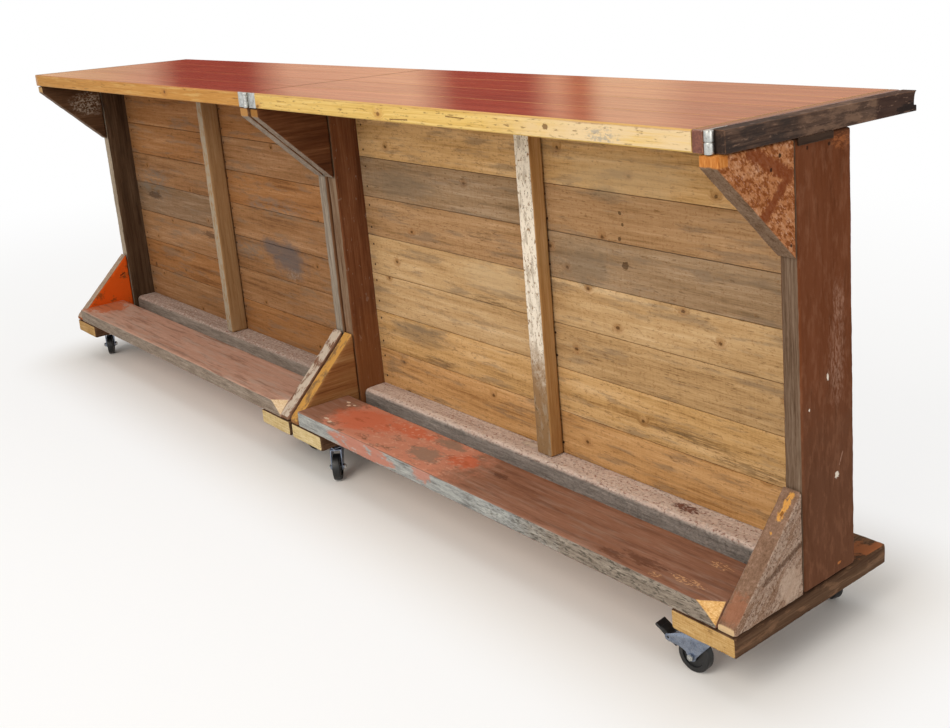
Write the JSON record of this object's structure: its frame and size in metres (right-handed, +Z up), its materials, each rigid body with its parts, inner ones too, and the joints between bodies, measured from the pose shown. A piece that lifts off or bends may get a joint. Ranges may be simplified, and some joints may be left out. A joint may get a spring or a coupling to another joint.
{
  "type": "folding portable bar counter",
  "caption": "Long serving bar of reclaimed joists and boards on swivel casters, hinged at mid-length so its halves fold face to face.",
  "frame": {"origin": "on the floor, under the middle of the opened bar's outer box", "axes": "+X along the counter towards the end with the loose rail, +Y from the guests' side to the serving side, +Z up"},
  "size_m": [3.4, 0.602, 1.1],
  "materials": {
    "varnished_boards": "gloss varnish",
    "dark_hardwood": "worn varnish",
    "reclaimed_joist": "weathered",
    "stud_timber": "sawn",
    "wall_planks": "weathered",
    "zinc_plated_steel": "worn zinc",
    "caster_steel": "zinc",
    "black_rubber": "satin",
    "black_plastic": "matt"
  },
  "bodies": {
    "right_section": {"right_top_boards": "varnished_boards", "right_end_strip": "dark_hardwood", "right_inner_post": "reclaimed_joist", "right_inner_corbel": "reclaimed_joist", "right_inner_brace": "reclaimed_joist", "right_inner_skid": "reclaimed_joist", "right_outer_post": "reclaimed_joist", "right_outer_corbel": "reclaimed_joist", "right_outer_brace": "reclaimed_joist", "right_outer_skid": "reclaimed_joist", "right_footrest": "reclaimed_joist", "right_sill": "reclaimed_joist", "right_stud": "stud_timber", "right_wall_planks": "wall_planks", "fold_hinge_right_leaf": "zinc_plated_steel", "fold_hinge_pin": "zinc_plated_steel", "end_hinge_half": "zinc_plated_steel", "end_rail": "dark_hardwood", "rail_packing": "dark_hardwood", "right_outer_front_caster_plate": "caster_steel", "right_inner_front_caster_plate": "caster_steel", "right_outer_rear_caster_plate": "caster_steel", "right_inner_rear_caster_plate": "caster_steel"},
    "left_section": {"left_top_boards": "varnished_boards", "left_end_strip": "dark_hardwood", "left_inner_post": "reclaimed_joist", "left_inner_corbel": "reclaimed_joist", "left_inner_brace": "reclaimed_joist", "left_inner_skid": "reclaimed_joist", "left_outer_post": "reclaimed_joist", "left_outer_corbel": "reclaimed_joist", "left_outer_brace": "reclaimed_joist", "left_outer_skid": "reclaimed_joist", "left_footrest": "reclaimed_joist", "left_sill": "reclaimed_joist", "left_stud": "stud_timber", "left_wall_planks": "wall_planks", "fold_hinge_left_leaf": "zinc_plated_steel", "left_outer_front_caster_plate": "caster_steel", "left_inner_front_caster_plate": "caster_steel", "left_outer_rear_caster_plate": "caster_steel", "left_inner_rear_caster_plate": "caster_steel"},
    "right_outer_front_swivel": {"right_outer_front_caster_fork": "caster_steel"},
    "right_outer_front_wheel": {"right_outer_front_caster_wheel": "black_rubber"},
    "brake_pedal": {"right_outer_front_brake_pedal": "black_plastic"},
    "right_inner_front_swivel": {"right_inner_front_caster_fork": "caster_steel"},
    "right_inner_front_wheel": {"right_inner_front_caster_wheel": "black_rubber"},
    "right_outer_rear_swivel": {"right_outer_rear_caster_fork": "caster_steel"},
    "right_outer_rear_wheel": {"right_outer_rear_caster_wheel": "black_rubber"},
    "right_inner_rear_swivel": {"right_inner_rear_caster_fork": "caster_steel"},
    "right_inner_rear_wheel": {"right_inner_rear_caster_wheel": "black_rubber"},
    "left_outer_front_swivel": {"left_outer_front_caster_fork": "caster_steel"},
    "left_outer_front_wheel": {"left_outer_front_caster_wheel": "black_rubber"},
    "left_inner_front_swivel": {"left_inner_front_caster_fork": "caster_steel"},
    "left_inner_front_wheel": {"left_inner_front_caster_wheel": "black_rubber"},
    "left_outer_rear_swivel": {"left_outer_rear_caster_fork": "caster_steel"},
    "left_outer_rear_wheel": {"left_outer_rear_caster_wheel": "black_rubber"},
    "left_inner_rear_swivel": {"left_inner_rear_caster_fork": "caster_steel"},
    "left_inner_rear_wheel": {"left_inner_rear_caster_wheel": "black_rubber"}
  },
  "joints": [
    {"name": "fold", "type": "hinge", "parent": "right_section", "child": "left_section", "pos_m": [0, -0.2945, 0.1], "axis": [0, 0, 1], "range_deg": [0, 180]},
    {"name": "right_outer_front_swivel", "type": "hinge", "parent": "right_section", "child": "right_outer_front_swivel", "pos_m": [1.581, -0.245, 0.088], "axis": [0, 0, 1], "continuous": true},
    {"name": "right_outer_front_roll", "type": "hinge", "parent": "right_outer_front_swivel", "child": "right_outer_front_wheel", "pos_m": [1.55116, -0.24814, 0.0375], "axis": [0.1045, -0.9945, 0], "continuous": true},
    {"name": "brake_press", "type": "hinge", "parent": "right_outer_front_swivel", "child": "brake_pedal", "pos_m": [1.49348, -0.2542, 0.06], "axis": [0.1045, -0.9945, 0], "range_deg": [0, 14]},
    {"name": "right_inner_front_swivel", "type": "hinge", "parent": "right_section", "child": "right_inner_front_swivel", "pos_m": [0.138, -0.222, 0.088], "axis": [0, 0, 1], "continuous": true},
    {"name": "right_inner_front_roll", "type": "hinge", "parent": "right_inner_front_swivel", "child": "right_inner_front_wheel", "pos_m": [0.16164, -0.24047, 0.0375], "axis": [0.6157, 0.788, 0], "continuous": true},
    {"name": "right_outer_rear_swivel", "type": "hinge", "parent": "right_section", "child": "right_outer_rear_swivel", "pos_m": [1.61, 0.141, 0.088], "axis": [0, 0, 1], "continuous": true},
    {"name": "right_outer_rear_roll", "type": "hinge", "parent": "right_outer_rear_swivel", "child": "right_outer_rear_wheel", "pos_m": [1.58181, 0.15126, 0.0375], "axis": [-0.342, -0.9397, 0], "continuous": true},
    {"name": "right_inner_rear_swivel", "type": "hinge", "parent": "right_section", "child": "right_inner_rear_swivel", "pos_m": [0.09, 0.141, 0.088], "axis": [0, 0, 1], "continuous": true},
    {"name": "right_inner_rear_roll", "type": "hinge", "parent": "right_inner_rear_swivel", "child": "right_inner_rear_wheel", "pos_m": [0.11819, 0.15126, 0.0375], "axis": [-0.342, 0.9397, 0], "continuous": true},
    {"name": "left_outer_front_swivel", "type": "hinge", "parent": "left_section", "child": "left_outer_front_swivel", "pos_m": [-1.644, -0.196, 0.088], "axis": [0, 0, 1], "continuous": true},
    {"name": "left_outer_front_roll", "type": "hinge", "parent": "left_outer_front_swivel", "child": "left_outer_front_wheel", "pos_m": [-1.61659, -0.2082, 0.0375], "axis": [0.4067, 0.9135, 0], "continuous": true},
    {"name": "left_inner_front_swivel", "type": "hinge", "parent": "left_section", "child": "left_inner_front_swivel", "pos_m": [-0.09, -0.191, 0.088], "axis": [0, 0, 1], "continuous": true},
    {"name": "left_inner_front_roll", "type": "hinge", "parent": "left_inner_front_swivel", "child": "left_inner_front_wheel", "pos_m": [-0.08224, -0.16202, 0.0375], "axis": [-0.9659, 0.2588, 0], "continuous": true},
    {"name": "left_outer_rear_swivel", "type": "hinge", "parent": "left_section", "child": "left_outer_rear_swivel", "pos_m": [-1.61, 0.141, 0.088], "axis": [0, 0, 1], "continuous": true},
    {"name": "left_outer_rear_roll", "type": "hinge", "parent": "left_outer_rear_swivel", "child": "left_outer_rear_wheel", "pos_m": [-1.58402, 0.126, 0.0375], "axis": [0.5, 0.866, 0], "continuous": true},
    {"name": "left_inner_rear_swivel", "type": "hinge", "parent": "left_section", "child": "left_inner_rear_swivel", "pos_m": [-0.09, 0.141, 0.088], "axis": [0, 0, 1], "continuous": true},
    {"name": "left_inner_rear_roll", "type": "hinge", "parent": "left_inner_rear_swivel", "child": "left_inner_rear_wheel", "pos_m": [-0.10026, 0.16919, 0.0375], "axis": [-0.9397, -0.342, 0], "continuous": true}
  ]
}
